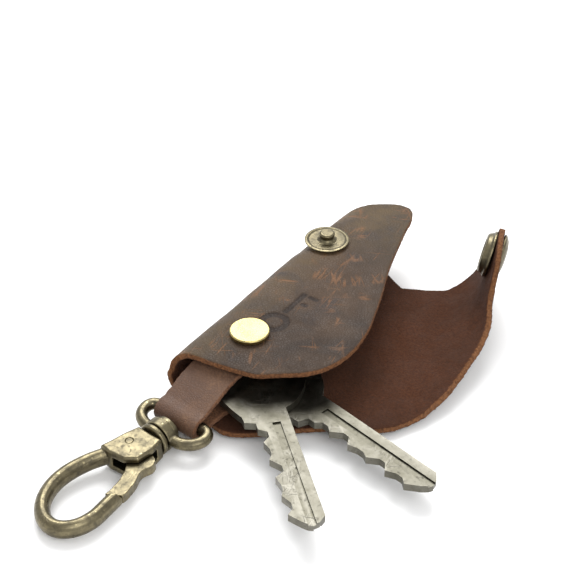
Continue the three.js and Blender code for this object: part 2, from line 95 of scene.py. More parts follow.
# %% leather layout
MM = 0.001
THICK = 1.7
SHEET_LOW = 1.85
SHEET_HIGH = 14.45
FOLD_X = -6.35
FOLD_Z = 8.15
FOLD_R = 6.3
HINGE_N = 30.0
FLAT_RUN = 11.0
CURL_RUN = 16.0
CURL_TURN = math.radians(78)
CURL_R = CURL_RUN / CURL_TURN
FLAP_END = 41.0
FLAP_TURN = math.radians(20.3)
AXIS_N = np.array([math.cos(FLAP_TURN), math.sin(FLAP_TURN), 0.0])
AXIS_T = np.array([-math.sin(FLAP_TURN), math.cos(FLAP_TURN), 0.0])
NEAR_S = [-9, 0, 2, 8.9, 15.3, 18.9, 21.5, 24, 28, 33, 37.5, 40, 41]
NEAR_T = [-14.4, -14.5, -13.9, -10.9, -5, 2.5, 12, 21, 29.5, 33.6, 36.2, 38.8, 41.5]
FAR_S = [-9, 0, 6.3, 11.7, 15.5, 20.4, 26, 31, 35.5, 39, 40.4, 41]
FAR_T = [45.4, 45.5, 46.1, 47.5, 51, 56, 56.6, 54.5, 52.4, 50, 48.4, 46.4]
STUD = (-6.8, 44.5)


def curl_point(s, depth):
    """Place of a flap point in (n, z), s along the sheet and depth towards the case."""
    if s <= FLAT_RUN:
        return HINGE_N + s, SHEET_LOW + depth
    turn = min((s - FLAT_RUN) / CURL_R, CURL_TURN)
    rest = max(s - FLAT_RUN - CURL_RUN, 0.0)
    n = HINGE_N + FLAT_RUN + CURL_R * math.sin(turn) + rest * math.cos(turn)
    z = SHEET_LOW + CURL_R * (1 - math.cos(turn)) + rest * math.sin(turn)
    return n - depth * math.sin(turn), z + depth * math.cos(turn)


def flap_solid(start, stations):
    """Corners and faces of the whole flap in one piece, in millimetres."""
    corners = []
    faces = []
    for i in range(stations + 1):
        s = start + (FLAP_END - start) * i / stations
        near = float(np.interp(s, NEAR_S, NEAR_T))
        far = float(np.interp(s, FAR_S, FAR_T))
        inner = curl_point(s, THICK / 2)
        outer = curl_point(s, -THICK / 2)
        for (n, z), t in ((inner, near), (inner, far), (outer, far), (outer, near)):
            corners.append(AXIS_N * n + AXIS_T * t + np.array([0, 0, z]))
        if i:
            a = (i - 1) * 4
            for k in range(4):
                m = (k + 1) % 4
                faces.append((a + k, a + 4 + k, a + 4 + m, a + m))
    last = stations * 4
    faces.append((0, 1, 2, 3))
    faces.append((last + 3, last + 2, last + 1, last))
    return corners, faces


def smoothstep(value, low, high):
    share = np.clip((value - low) / (high - low), 0.0, 1.0)
    return share * share * (3 - 2 * share)


def sheet_facts(points):
    """For each point: length s along the flap, depth in the sheet, and the sheet's outer normal."""
    x, y, z = points.T
    n = points @ AXIS_N
    count = len(points)
    s = n - HINGE_N
    depth = z - SHEET_LOW
    normal = np.tile([0.0, 0.0, -1.0], (count, 1))
    top = (z > FOLD_Z) & (x > FOLD_X) & (n < HINGE_N)
    depth[top] = SHEET_HIGH - z[top]
    normal[top] = [0, 0, 1]
    fold = x <= FOLD_X
    away = np.stack([x - FOLD_X, np.zeros(count), z - FOLD_Z], axis=1)
    radius = np.linalg.norm(away, axis=1) + 1e-9
    depth[fold] = FOLD_R - radius[fold]
    normal[fold] = away[fold] / radius[fold, None]
    centre_n = HINGE_N + FLAT_RUN
    centre_z = SHEET_LOW + CURL_R
    turn = np.arctan2(n - centre_n, centre_z - z)
    reach = np.hypot(n - centre_n, centre_z - z)
    curl = (n > centre_n) & (turn <= CURL_TURN)
    s[curl] = FLAT_RUN + CURL_R * turn[curl]
    depth[curl] = CURL_R - reach[curl]
    end_n = centre_n + CURL_R * math.sin(CURL_TURN)
    end_z = centre_z - CURL_R * math.cos(CURL_TURN)
    along = (n - end_n) * math.cos(CURL_TURN) + (z - end_z) * math.sin(CURL_TURN)
    over = -(n - end_n) * math.sin(CURL_TURN) + (z - end_z) * math.cos(CURL_TURN)
    tip = (n > centre_n) & (turn > CURL_TURN)
    s[tip] = FLAT_RUN + CURL_RUN + along[tip]
    depth[tip] = over[tip]
    face = np.where(tip, CURL_TURN, np.clip(turn, 0, CURL_TURN))
    bent = curl | tip
    normal[bent] = np.outer(np.sin(face[bent]), AXIS_N) + np.outer(-np.cos(face[bent]), [0, 0, 1])
    return s, depth, normal, top, fold, bent


print("flap curls over", round(math.degrees(CURL_TURN)), "degrees, radius", round(CURL_R, 1), "mm")

# %% [markdown]
# These helpers read a CAD solid, wrap a shape in a dense even skin, and read or write that
# skin's corners all at once. Working on whole arrays of corners keeps each step quick.

# %% mesh helpers
def piece_from(name, corners, faces):
    mesh = bpy.data.meshes.new(name)
    mesh.from_pydata([tuple(c) for c in corners], [], [tuple(f) for f in faces])
    mesh.update()
    piece = bpy.data.objects.new(name, mesh)
    bpy.context.collection.objects.link(piece)
    return piece


def cad_faces(node):
    """Corners in millimetres and faces of a CAD node, with its doubled corners welded."""
    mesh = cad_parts[node].data
    corners = np.empty(len(mesh.vertices) * 3)
    mesh.vertices.foreach_get("co", corners)
    corners = corners.reshape(-1, 3) / MM
    keys = {}
    same = [keys.setdefault(tuple(c), len(keys)) for c in np.round(corners, 4).tolist()]
    faces = []
    for face in mesh.polygons:
        ring = [same[v] for v in face.vertices]
        if len(set(ring)) == len(ring):
            faces.append(tuple(ring))
    return list(keys), faces


def remeshed(name, corners, faces, voxel, rounds):
    """A dense even skin over the closed shapes given in millimetres, softened a few rounds."""
    rough = piece_from(name + "_rough", np.array(corners) * MM, faces)
    remesh = rough.modifiers.new("skin", "REMESH")
    remesh.mode = "VOXEL"
    remesh.voxel_size = voxel * MM
    soften = rough.modifiers.new("soften", "SMOOTH")
    soften.factor = 0.5
    soften.iterations = rounds
    graph = bpy.context.evaluated_depsgraph_get()
    mesh = bpy.data.meshes.new_from_object(rough.evaluated_get(graph))
    bpy.data.objects.remove(rough)
    mesh.name = name
    piece = bpy.data.objects.new(name, mesh)
    bpy.context.collection.objects.link(piece)
    mesh.shade_smooth()
    return piece


def read_corners(mesh):
    """The mesh's corners in millimetres."""
    values = np.empty(len(mesh.vertices) * 3, dtype=np.float32)
    mesh.vertices.foreach_get("co", values)
    return values.reshape(-1, 3).astype(float) / MM


def write_corners(mesh, points):
    """Moves the mesh's corners to these places, given in millimetres."""
    mesh.vertices.foreach_set("co", (points * MM).astype(np.float32).ravel())
    mesh.update()


def read_normals(mesh):
    values = np.empty(len(mesh.vertices) * 3, dtype=np.float32)
    mesh.vertex_normals.foreach_get("vector", values)
    return values.reshape(-1, 3).astype(float)


def store_mask(mesh, name, values):
    """Keeps one number for each corner, for the materials to read."""
    layer = mesh.attributes.new(name, "FLOAT", "POINT")
    layer.data.foreach_set("value", values.astype(np.float32))


def rough_field(points, size, seed):
    """A smooth random value at each point, with bumps about size millimetres across."""
    shift = Vector((seed * 7.3, seed * 3.1, seed * 5.7))
    return np.array([noise.noise(Vector(p) / size + shift) for p in points])


# %% [markdown]
# The real case is cut from one hide, folded and never sewn. Here the sleeve and the flap are
# skinned together as one dense solid, so the flap grows out of the lower panel with no gap,
# and the cut edges come out slightly rounded as worn leather is.

# %% case leather skin
sleeve_corners, sleeve_faces = cad_faces("leather_sleeve")
FLAP_ROOT_S = -3.0
FLAP_STATIONS = 70
flap_corners, flap_faces = flap_solid(FLAP_ROOT_S, FLAP_STATIONS)
shift = len(sleeve_corners)
all_corners = list(sleeve_corners) + [tuple(c) for c in flap_corners]
all_faces = sleeve_faces + [tuple(v + shift for v in f) for f in flap_faces]
LEATHER_VOXEL = 0.36
LEATHER_SOFTENING = 3
case_leather = remeshed("case_leather_whole", all_corners, all_faces, LEATHER_VOXEL, LEATHER_SOFTENING)
print("case leather corners:", len(case_leather.data.vertices))

# %% [markdown]
# Handling has left the hide slightly wavy, pressed in round the screw and the stud, and
# frayed along its cut edges. Each point moves along the sheet's own normal by the same
# amount on both faces, so the leather keeps its thickness. The flap's near side also leans
# outwards, as a hand-curled strip does. The small key mark pressed into the top panel is in
# the CAD solid, and is only masked here so that it can be darkened.

# %% case leather marks
BROAD_WAVE = 0.35
FINE_WAVE = 0.12
SCREW_RIM = 5.3
STUD_RIM = 6.2
CALM_WIDTH = 4.0
DENT_DEPTH = 0.22
DENT_WIDTH = 1.3
TOP_PANEL_Z = 11.5
FLARE = 4.5
MARK_CENTRE = (3, 12.5)
MARK_HALF = (5, 10.5)
MARK_LEVEL = 15.22
points = read_corners(case_leather.data)
normals = read_normals(case_leather.data)
s_along, depth, facing, on_top, on_fold, on_curl = sheet_facts(points)
edge_mask = 1 - smoothstep(np.abs((normals * facing).sum(axis=1)), 0.45, 0.8)
inner_mask = smoothstep(depth, -0.15, 0.15)
wave = BROAD_WAVE * rough_field(points, 17.0, 1) + FINE_WAVE * rough_field(points, 6.0, 2)
before_hinge = points @ AXIS_N < HINGE_N
lifted = smoothstep(points[:, 2], 3.5, 9.0)
lifted = np.where(on_curl | (points @ AXIS_N > HINGE_N), 1.0, lifted)
move = wave * lifted
for centre, rim in (((0.0, 0.0), SCREW_RIM), (STUD, STUD_RIM)):
    reach = np.hypot(points[:, 0] - centre[0], points[:, 1] - centre[1])
    near_top = (points[:, 2] > TOP_PANEL_Z) & before_hinge
    calm = smoothstep(reach, rim, rim + CALM_WIDTH)
    move = np.where(near_top, move * calm, move)
    dent = DENT_DEPTH * np.exp(-((reach - rim) / DENT_WIDTH) ** 2)
    move = np.where(near_top & (reach > rim - 1.5), move - dent, move)
flare = FLARE * smoothstep(s_along, 14.0, 27.0) * smoothstep(points @ AXIS_T, 44.0, 18.0)
flare = np.where(on_curl, flare, 0.0)
fray = 0.09 * rough_field(points, 0.9, 3) + 0.1 * rough_field(points, 2.6, 4)
moved = points + facing * move[:, None] + normals * (fray * edge_mask)[:, None]
moved += np.outer(flare, AXIS_N)
write_corners(case_leather.data, moved)
store_mask(case_leather.data, "edge_mask", edge_mask)
store_mask(case_leather.data, "inner_mask", inner_mask)
fold_wear = np.where(on_fold & (points[:, 2] > 5), 1.0, 0.0)
fold_wear = np.maximum(fold_wear, smoothstep(points[:, 0], 4.0, -8.0) * (points[:, 2] > FOLD_Z))
far_wear = smoothstep(points[:, 1], 34.0, 66.0) * (points[:, 2] > FOLD_Z) * before_hinge
store_mask(case_leather.data, "tan_mask", np.clip(0.75 * fold_wear + 0.8 * far_wear, 0, 1))
pressed = smoothstep(-(points[:, 2] - MARK_LEVEL), 0.0, 0.2) * (depth < -0.3) * on_top
pressed = pressed * (np.abs(points[:, 0] - MARK_CENTRE[0]) < MARK_HALF[0])
pressed = pressed * (np.abs(points[:, 1] - MARK_CENTRE[1]) < MARK_HALF[1])
store_mask(case_leather.data, "press_mask", pressed)
print("largest wave:", round(float(np.abs(move).max()), 2), "mm")

# %% [markdown]
# The flap closes by bending at three creases, so the one skin is shared out between three
# pieces that meet in the middle of a stiff part, where nothing bends. The normals are taken
# before the split, so the seams don't show.

# %% case leather split
def share_out(name, whole, keep):
    """A copy of the whole skin with only the faces whose first corner is kept."""
    mesh = whole.data.copy()
    mesh.name = name
    piece = bpy.data.objects.new(name, mesh)
    bpy.context.collection.objects.link(piece)
    ring = np.empty(len(mesh.loops), dtype=np.int32)
    mesh.loops.foreach_get("vertex_index", ring)
    starts = np.empty(len(mesh.polygons), dtype=np.int32)
    mesh.polygons.foreach_get("loop_start", starts)
    kept_face = keep[ring[starts]]
    work = bmesh.new()
    work.from_mesh(mesh)
    work.faces.ensure_lookup_table()
    drop = [work.faces[i] for i in np.nonzero(~kept_face)[0]]
    bmesh.ops.delete(work, geom=drop, context="FACES")
    work.to_mesh(mesh)
    work.free()
    return piece


NORMAL_LAYER = "skin_normal"
layer = case_leather.data.attributes.new(NORMAL_LAYER, "FLOAT_VECTOR", "POINT")
final_normals = read_normals(case_leather.data)
layer.data.foreach_set("vector", final_normals.astype(np.float32).ravel())
in_flap = points @ AXIS_N > HINGE_N
CUT_ONE = 7.5
CUT_TWO = 18.3
FLAP_MIDDLE_T = 15.0
OFF_THE_FLAP = -99.0
flap_s = np.where(in_flap, s_along, OFF_THE_FLAP)
shares = {
    "case_leather": flap_s <= CUT_ONE,
    "flap_leather": (flap_s > CUT_ONE) & (flap_s <= CUT_TWO),
    "flap_tip_leather": flap_s > CUT_TWO,
}
leather_pieces = {}
for share_name, keep in shares.items():
    share = share_out(share_name, case_leather, keep)
    held = np.empty(len(share.data.vertices) * 3, dtype=np.float32)
    share.data.attributes[NORMAL_LAYER].data.foreach_get("vector", held)
    share.data.normals_split_custom_set_from_vertices(held.reshape(-1, 3).tolist())
    share.data.attributes.remove(share.data.attributes[NORMAL_LAYER])
    leather_pieces[share_name] = share
    print(share_name, "faces:", len(share.data.polygons))
bpy.data.objects.remove(case_leather)


def on_sheet(s):
    """Place in metres on the middle of the flap, s millimetres along it."""
    n, z = curl_point(s, 0.0)
    place = AXIS_N * n + AXIS_T * FLAP_MIDDLE_T + np.array([0, 0, z])
    return tuple(place * MM)


root_piece = leather_pieces["case_leather"]
middle_piece = leather_pieces["flap_leather"]
tip_piece = leather_pieces["flap_tip_leather"]
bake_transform(root_piece, "case", "flap_side", start=on_sheet(-1.2), end=on_sheet(1.2))
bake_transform(middle_piece, "flap_side", "flap_crown", start=on_sheet(13.2), end=on_sheet(15.8))
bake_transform(tip_piece, "flap_crown", "flap_tip", start=on_sheet(21.0), end=on_sheet(23.3))
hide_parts("leather_sleeve", "flap_side")
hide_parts("flap_crown")
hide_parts("flap_tip")

# %% [markdown]
# The strap is a separate, thinner strip folded round the eye's bar, with both ends under the
# screw. It is skinned the same way, its grain outside and its rough side inside the loop.

# %% strap
STRAP_VOXEL = 0.24
STRAP_TURN = math.radians(-95)
BAR_A = 25.0
BAR_Z = 4.6
WRAP_START_A = 23.4
STRAP_MID_Z = 7.0
STRAP_END_A = 6.7
STRAP_SIDE_B = 5.8
strap_corners, strap_faces = cad_faces("strap_loop")
strap = remeshed("strap_leather", strap_corners, strap_faces, STRAP_VOXEL, 3)
points = read_corners(strap.data)
normals = read_normals(strap.data)
STRAP_A = np.array([math.cos(STRAP_TURN), math.sin(STRAP_TURN), 0.0])
STRAP_B = np.array([-math.sin(STRAP_TURN), math.cos(STRAP_TURN), 0.0])
a_along = points @ STRAP_A
b_across = points @ STRAP_B
in_wrap = a_along > WRAP_START_A
away_z = np.where(in_wrap, points[:, 2] - BAR_Z, points[:, 2] - STRAP_MID_Z)
away_a = np.where(in_wrap, a_along - BAR_A, 0.0)
outward = normals[:, 2] * away_z + (normals @ STRAP_A) * away_a
side_mask = smoothstep(np.abs(normals @ STRAP_B), 0.35, 0.7)
end_mask = smoothstep(-(a_along + STRAP_END_A), 0.0, 0.2)
strap_edge = np.maximum(side_mask * (np.abs(b_across) > STRAP_SIDE_B), end_mask)
fray = 0.07 * rough_field(points, 0.8, 5) + 0.06 * rough_field(points, 2.2, 6)
strap_wave = 0.07 * rough_field(points, 5.0, 7) * smoothstep(a_along, 10.0, 14.0)
write_corners(strap.data, points + normals * (fray * strap_edge + strap_wave)[:, None])
store_mask(strap.data, "edge_mask", strap_edge)
store_mask(strap.data, "inner_mask", smoothstep(-outward, -0.2, 0.2))
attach(strap, "case")
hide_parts("strap_loop")
print("strap corners:", len(strap.data.vertices))

# %% [markdown]
# The clasp, its eye and the snap are die-cast or stamped, plated and then aged, so they have
# soft fillets where shapes meet. A fine skin over the CAD solids, smoothed a little, gives
# those fillets, and the plating wear later follows them.

# %% cast hardware
QUICK_COARSENING = 1.0
CAST = {
    "clasp_body": ("clasp_cast", "clasp", "aged_brass", 0.16, 4),
    "clasp_gate": ("gate_cast", "gate", "aged_brass", 0.14, 3),
    "gate_pin": ("gate_rivet", "clasp", "aged_brass", 0.1, 2),
    "swivel_eye": ("eye_cast", "eye", "aged_brass", 0.16, 4),
    "swivel_post": ("swivel_post_cast", "clasp", "aged_brass", 0.14, 3),
    "swivel_washer": ("swivel_collar", "clasp", "aged_brass", 0.14, 2),
    "snap_stud": ("stud_stamped", "case", "aged_brass", 0.12, 2),
    "snap_stud_rivet": ("stud_back", "case", "aged_brass", 0.14, 1),
    "snap_cap": ("cap_stamped", "flap_tip", "aged_brass", 0.16, 2),
    "snap_socket": ("socket_stamped", "flap_tip", "aged_brass", 0.14, 2),
    "snap_socket_spring": ("socket_wire", "flap_tip", "spring_steel", 0.09, 2),
    "gate_spring": ("gate_coil", "clasp", "spring_steel", 0.06, 1),
}
cast_pieces = {}
for node, (name, body, slot_name, voxel, rounds) in CAST.items():
    corners, faces = cad_faces(node)
    piece = remeshed(name, corners, faces, voxel * QUICK_COARSENING, rounds)
    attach(piece, body)
    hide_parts(node)
    cast_pieces[node] = piece
print("cast pieces:", len(cast_pieces))

# %% [markdown]
# The screw is turned on a lathe: a flat head with a small chamfer and fine rings. The keys
# are stamped from sheet and cut, with a crisp outline and edges only just broken. They keep
# their CAD shape, with fine bevels that catch the light.

# %% screw and keys
SHARP_ANGLE = math.radians(28)
BEVEL_ANGLE = math.radians(30)
SCREW_BEVEL = 0.08
KEY_BEVEL = 0.14


def crisp_copy(node, name, body, bevel):
    """The CAD solid as it is, with its sharp edges rounded by bevel millimetres."""
    corners, faces = cad_faces(node)
    piece = piece_from(name, np.array(corners) * MM, faces)
    piece.data.shade_smooth()
    piece.data.set_sharp_from_angle(angle=SHARP_ANGLE)
    edge = piece.modifiers.new("broken_edge", "BEVEL")
    edge.width = bevel * MM
    edge.segments = 2
    edge.limit_method = "ANGLE"
    edge.angle_limit = BEVEL_ANGLE
    edge.harden_normals = True
    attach(piece, body)
    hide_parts(node)
    return piece


screw_pieces = {
    "screw_cap": crisp_copy("screw_cap", "screw_head", "cap", SCREW_BEVEL),
    "screw_post": crisp_copy("screw_post", "screw_barrel", "case", SCREW_BEVEL),
}
key_pieces = {
    "key_a": crisp_copy("key_a", "upper_key", "key_a", KEY_BEVEL),
    "key_b": crisp_copy("key_b", "lower_key", "key_b", KEY_BEVEL),
}
print("crisp pieces:", sorted(list(screw_pieces) + list(key_pieces)))

# %% [markdown]
# The surface effects are shared node groups: cloudy patches, hair scratches, leather grain
# and rubbed plating. Each gives only masks and heights, and the materials mix their colours.

# %% node helpers
def add(tree, kind, sockets=None, **settings):
    """A new node, with each socket linked or set to a value."""
    item = tree.nodes.new(kind)
    for key, value in settings.items():
        setattr(item, key, value)
    for key, value in (sockets or {}).items():
        if isinstance(value, bpy.types.NodeSocket):
            tree.links.new(value, item.inputs[key])
        else:
            item.inputs[key].default_value = value
    return item


def blend_colour(tree, factor, first, second):
    """The first colour where factor is 0 and the second where it is 1."""
    item = tree.nodes.new("ShaderNodeMix")
    item.data_type = "RGBA"
    for index, value in ((0, factor), (6, first), (7, second)):
        if isinstance(value, bpy.types.NodeSocket):
            tree.links.new(value, item.inputs[index])
        elif index == 0:
            item.inputs[index].default_value = value
        else:
            item.inputs[index].default_value = (*value, 1.0)
    return item.outputs[2]


def maths(tree, operation, first, second=0.0, clamp=False):
    item = tree.nodes.new("ShaderNodeMath")
    item.operation = operation
    item.use_clamp = clamp
    for index, value in ((0, first), (1, second)):
        if isinstance(value, bpy.types.NodeSocket):
            tree.links.new(value, item.inputs[index])
        else:
            item.inputs[index].default_value = value
    return item.outputs[0]


def scaled(tree, value, factor):
    return maths(tree, "MULTIPLY", value, factor)


def span(tree, value, low, high, to_low=0.0, to_high=1.0):
    """The value, carried from the range low to high onto to_low to to_high."""
    sockets = {"Value": value, "From Min": low, "From Max": high}
    sockets.update({"To Min": to_low, "To Max": to_high})
    return add(tree, "ShaderNodeMapRange", sockets, clamp=True).outputs[0]


def object_place(tree):
    return add(tree, "ShaderNodeTexCoord").outputs["Object"]


def noise_value(tree, place, scale, detail=4.0, roughness=0.55, distortion=0.0):
    sockets = {"Vector": place, "Scale": scale, "Detail": detail}
    sockets.update({"Roughness": roughness, "Distortion": distortion})
    return add(tree, "ShaderNodeTexNoise", sockets).outputs[0]


def new_group(name, inputs, outputs):
    group = bpy.data.node_groups.new(name, "ShaderNodeTree")
    for label, default in inputs:
        socket = group.interface.new_socket(label, in_out="INPUT", socket_type="NodeSocketFloat")
        socket.default_value = default
    for label in outputs:
        group.interface.new_socket(label, in_out="OUTPUT", socket_type="NodeSocketFloat")
    source = group.nodes.new("NodeGroupInput")
    sink = group.nodes.new("NodeGroupOutput")
    return group, source, sink


def use_group(tree, group, **values):
    item = tree.nodes.new("ShaderNodeGroup")
    item.node_tree = group
    for label, value in values.items():
        socket = item.inputs[label.replace("_", " ")]
        if isinstance(value, bpy.types.NodeSocket):
            tree.links.new(value, socket)
        else:
            socket.default_value = value
    return item


# %% [markdown]
# On the real object the same kinds of wear are on every part, at different sizes. Each effect
# is made once with its sizes as inputs, so every material can ask for its own scale.

# %% shared effects
def patches_group():
    """Cloudy patches: a mask between two levels of a warped noise."""
    group, source, sink = new_group("patches", [("Scale", 60.0), ("Low", 0.4), ("High", 0.6)], ["Mask"])
    place = object_place(group)
    cloud = noise_value(group, place, source.outputs["Scale"], 5.0, 0.6, 0.6)
    mask = span(group, cloud, source.outputs["Low"], source.outputs["High"])
    group.links.new(mask, sink.inputs["Mask"])
    return group


def scratches_group():
    """Hair scratches in three directions, drawn where a stretched noise crosses its middle."""
    group, source, sink = new_group("scratches", [("Scale", 300.0), ("Width", 0.02)], ["Mask"])
    place = object_place(group)
    lines = []
    for turn, stretch in ((0.5, 12.0), (-0.9, 9.0), (1.7, 16.0)):
        sockets = {"Vector": place, "Rotation": (0.2, 0.1, turn)}
        turned = add(group, "ShaderNodeMapping", sockets, vector_type="TEXTURE")
        turned.inputs["Scale"].default_value = (stretch, 1.0, 1.0)
        value = noise_value(group, turned.outputs[0], source.outputs["Scale"], 3.0, 0.6, 0.4)
        off = maths(group, "ABSOLUTE", maths(group, "SUBTRACT", value, 0.5))
        line = span(group, off, 0.0, source.outputs["Width"], 1.0, 0.0)
        gate = span(group, noise_value(group, place, 140.0, 2.0), 0.5, 0.62)
        lines.append(scaled(group, line, gate))
    total = maths(group, "MAXIMUM", maths(group, "MAXIMUM", lines[0], lines[1]), lines[2])
    group.links.new(total, sink.inputs["Mask"])
    return group


def grain_group():
    """Leather grain: pebbled cells with creases between, and fine pores."""
    group, source, sink = new_group("leather_grain", [("Scale", 900.0)], ["Height", "Crease"])
    place = object_place(group)
    warp = noise_value(group, place, 500.0, 3.0)
    shifted = add(group, "ShaderNodeVectorMath", {0: place}, operation="ADD")
    push = add(group, "ShaderNodeVectorMath", {0: (0.0006, 0.0006, 0.0006)}, operation="SCALE")
    group.links.new(warp, push.inputs["Scale"])
    group.links.new(push.outputs[0], shifted.inputs[1])
    sockets = {"Vector": shifted.outputs[0], "Scale": source.outputs["Scale"]}
    cells = add(group, "ShaderNodeTexVoronoi", sockets)
    cells.feature = "DISTANCE_TO_EDGE"
    crease = span(group, cells.outputs["Distance"], 0.0, 0.16, 1.0, 0.0)
    pores = noise_value(group, place, 3200.0, 2.0)
    soft = noise_value(group, place, 420.0, 4.0)
    height = scaled(group, crease, -0.45)
    height = maths(group, "ADD", height, scaled(group, pores, 0.35))
    height = maths(group, "ADD", height, scaled(group, soft, 0.8))
    group.links.new(height, sink.inputs["Height"])
    group.links.new(crease, sink.inputs["Crease"])
    return group


def rubbed_group():
    """Rubbed plating: high where the shape stands proud, low in its corners."""
    group, source, sink = new_group("rubbed_plating", [("Low", 0.46), ("High", 0.56)], ["Proud", "Corner"])
    bent = add(group, "ShaderNodeNewGeometry").outputs["Pointiness"]
    patch = noise_value(group, object_place(group), 420.0, 4.0)
    uneven = scaled(group, maths(group, "SUBTRACT", patch, 0.5), 0.14)
    mixed = maths(group, "ADD", bent, uneven)
    proud = span(group, mixed, source.outputs["Low"], source.outputs["High"])
    corner = span(group, bent, 0.40, 0.49, 1.0, 0.0)
    group.links.new(proud, sink.inputs["Proud"])
    group.links.new(corner, sink.inputs["Corner"])
    return group


patches = patches_group()
scratches = scratches_group()
grain = grain_group()
rubbed = rubbed_group()
print("shared effects:", [g.name for g in bpy.data.node_groups])

# %% material helpers
def new_material(name):
    material = bpy.data.materials.new(name)
    material.use_nodes = True
    tree = material.node_tree
    shader = tree.nodes["Principled BSDF"]
    return material, tree, shader


def bumped(tree, shader, height, distance, strength=1.0):
    """Turns a height into relief of up to distance metres on the material's surface."""
    bump = add(tree, "ShaderNodeBump", {"Height": height, "Distance": distance, "Strength": strength})
    tree.links.new(bump.outputs[0], shader.inputs["Normal"])


def stored(tree, name):
    """A mask that was kept on the mesh's corners."""
    return add(tree, "ShaderNodeAttribute", attribute_name=name).outputs["Fac"]


def dress(piece, material):
    piece.data.materials.clear()
    piece.data.materials.append(material)


masks = sorted(a.name for a in root_piece.data.attributes if a.name.endswith("_mask"))
print("masks on the case leather:", masks)

# %% [markdown]
# Waxed pull-up leather is dark where the oil sits and goes tan where it has been bent or
# rubbed, as along the fold and the far end. Scratches show orange. The inside is rough red
# brown flesh side, and the cut edge is raw orange-brown fibre.

# %% case leather look
OILED_DARK = (0.028, 0.0175, 0.0115)
OILED_BROWN = (0.066, 0.038, 0.0205)
WORN_TAN = (0.112, 0.076, 0.039)
HANDLED_BLACK = (0.024, 0.021, 0.023)
SCRATCH_ORANGE = (0.22, 0.1, 0.04)
CREASE_DARK = (0.02, 0.011, 0.007)
PRESSED_DARK = (0.014, 0.008, 0.006)
FLESH_DARK = (0.038, 0.013, 0.0055)
FLESH_LIGHT = (0.085, 0.029, 0.0115)
FLESH_SHADE = (0.034, 0.013, 0.006)
RAW_DARK = (0.08, 0.032, 0.013)
RAW_LIGHT = (0.22, 0.095, 0.038)


def case_leather_material():
    material, tree, shader = new_material("waxed_case_leather")
    cells = use_group(tree, grain, Scale=1500.0)
    broad = use_group(tree, patches, Scale=45.0, Low=0.38, High=0.66).outputs[0]
    fine = use_group(tree, patches, Scale=220.0, Low=0.35, High=0.7).outputs[0]
    scrape = use_group(tree, scratches, Scale=150.0, Width=0.018).outputs[0]
    outside = blend_colour(tree, broad, OILED_DARK, OILED_BROWN)
    tan_level = scaled(tree, stored(tree, "tan_mask"), span(tree, fine, 0.0, 1.0, 0.35, 0.95))
    outside = blend_colour(tree, tan_level, outside, WORN_TAN)
    dark = use_group(tree, patches, Scale=70.0, Low=0.55, High=0.72).outputs[0]
    outside = blend_colour(tree, scaled(tree, dark, 0.6), outside, HANDLED_BLACK)
    outside = blend_colour(tree, scaled(tree, scrape, 0.6), outside, SCRATCH_ORANGE)
    outside = blend_colour(tree, scaled(tree, cells.outputs["Crease"], 0.16), outside, CREASE_DARK)
    outside = blend_colour(tree, scaled(tree, stored(tree, "press_mask"), 0.75), outside, PRESSED_DARK)
    fuzz = noise_value(tree, object_place(tree), 1500.0, 5.0, 0.7)
    inside = blend_colour(tree, span(tree, fuzz, 0.3, 0.7), FLESH_DARK, FLESH_LIGHT)
    inside = blend_colour(tree, scaled(tree, broad, 0.5), inside, FLESH_SHADE)
    colour = blend_colour(tree, stored(tree, "inner_mask"), outside, inside)
    raw = blend_colour(tree, span(tree, fuzz, 0.35, 0.65), RAW_DARK, RAW_LIGHT)
    colour = blend_colour(tree, stored(tree, "edge_mask"), colour, raw)
    tree.links.new(colour, shader.inputs["Base Color"])
    rough = span(tree, fine, 0.0, 1.0, 0.5, 0.68)
    dull = maths(tree, "MAXIMUM", stored(tree, "inner_mask"), stored(tree, "edge_mask"))
    rough = maths(tree, "ADD", rough, scaled(tree, dull, 0.35), clamp=True)
    tree.links.new(rough, shader.inputs["Roughness"])
    fibres = scaled(tree, scaled(tree, fuzz, dull), 2.2)
    height = maths(tree, "ADD", cells.outputs["Height"], fibres)
    height = maths(tree, "SUBTRACT", height, scaled(tree, scrape, 0.4))
    bumped(tree, shader, height, 0.00016)
    shader.inputs["Specular IOR Level"].default_value = 0.25
    return material


case_look = case_leather_material()
for piece in leather_pieces.values():
    dress(piece, case_look)
print("dressed:", sorted(leather_pieces))

# %% [markdown]
# The strap is a redder, smoother leather, with little wear. Its underside and its cut edges
# share one raw look, since both are bare fibre.

# %% strap leather look
def strap_leather_material():
    material, tree, shader = new_material("waxed_strap_leather")
    cells = use_group(tree, grain, Scale=1300.0)
    broad = use_group(tree, patches, Scale=120.0, Low=0.35, High=0.68).outputs[0]
    colour = blend_colour(tree, broad, (0.075, 0.034, 0.018), (0.12, 0.06, 0.032))
    scrape = use_group(tree, scratches, Scale=260.0, Width=0.02).outputs[0]
    colour = blend_colour(tree, scaled(tree, scrape, 0.4), colour, (0.2, 0.105, 0.05))
    colour = blend_colour(tree, scaled(tree, cells.outputs["Crease"], 0.3), colour, (0.05, 0.024, 0.013))
    fuzz = noise_value(tree, object_place(tree), 1600.0, 5.0, 0.7)
    raw = blend_colour(tree, span(tree, fuzz, 0.35, 0.65), (0.08, 0.032, 0.014), (0.2, 0.09, 0.04))
    dull = maths(tree, "MAXIMUM", stored(tree, "inner_mask"), stored(tree, "edge_mask"))
    colour = blend_colour(tree, dull, colour, raw)
    tree.links.new(colour, shader.inputs["Base Color"])
    rough = maths(tree, "ADD", span(tree, broad, 0.0, 1.0, 0.55, 0.7), scaled(tree, dull, 0.25))
    tree.links.new(rough, shader.inputs["Roughness"])
    fibres = scaled(tree, scaled(tree, fuzz, dull), 1.8)
    height = maths(tree, "ADD", cells.outputs["Height"], fibres)
    bumped(tree, shader, height, 0.00011)
    return material


strap_look = strap_leather_material()
dress(strap, strap_look)
print("dressed:", strap.name)

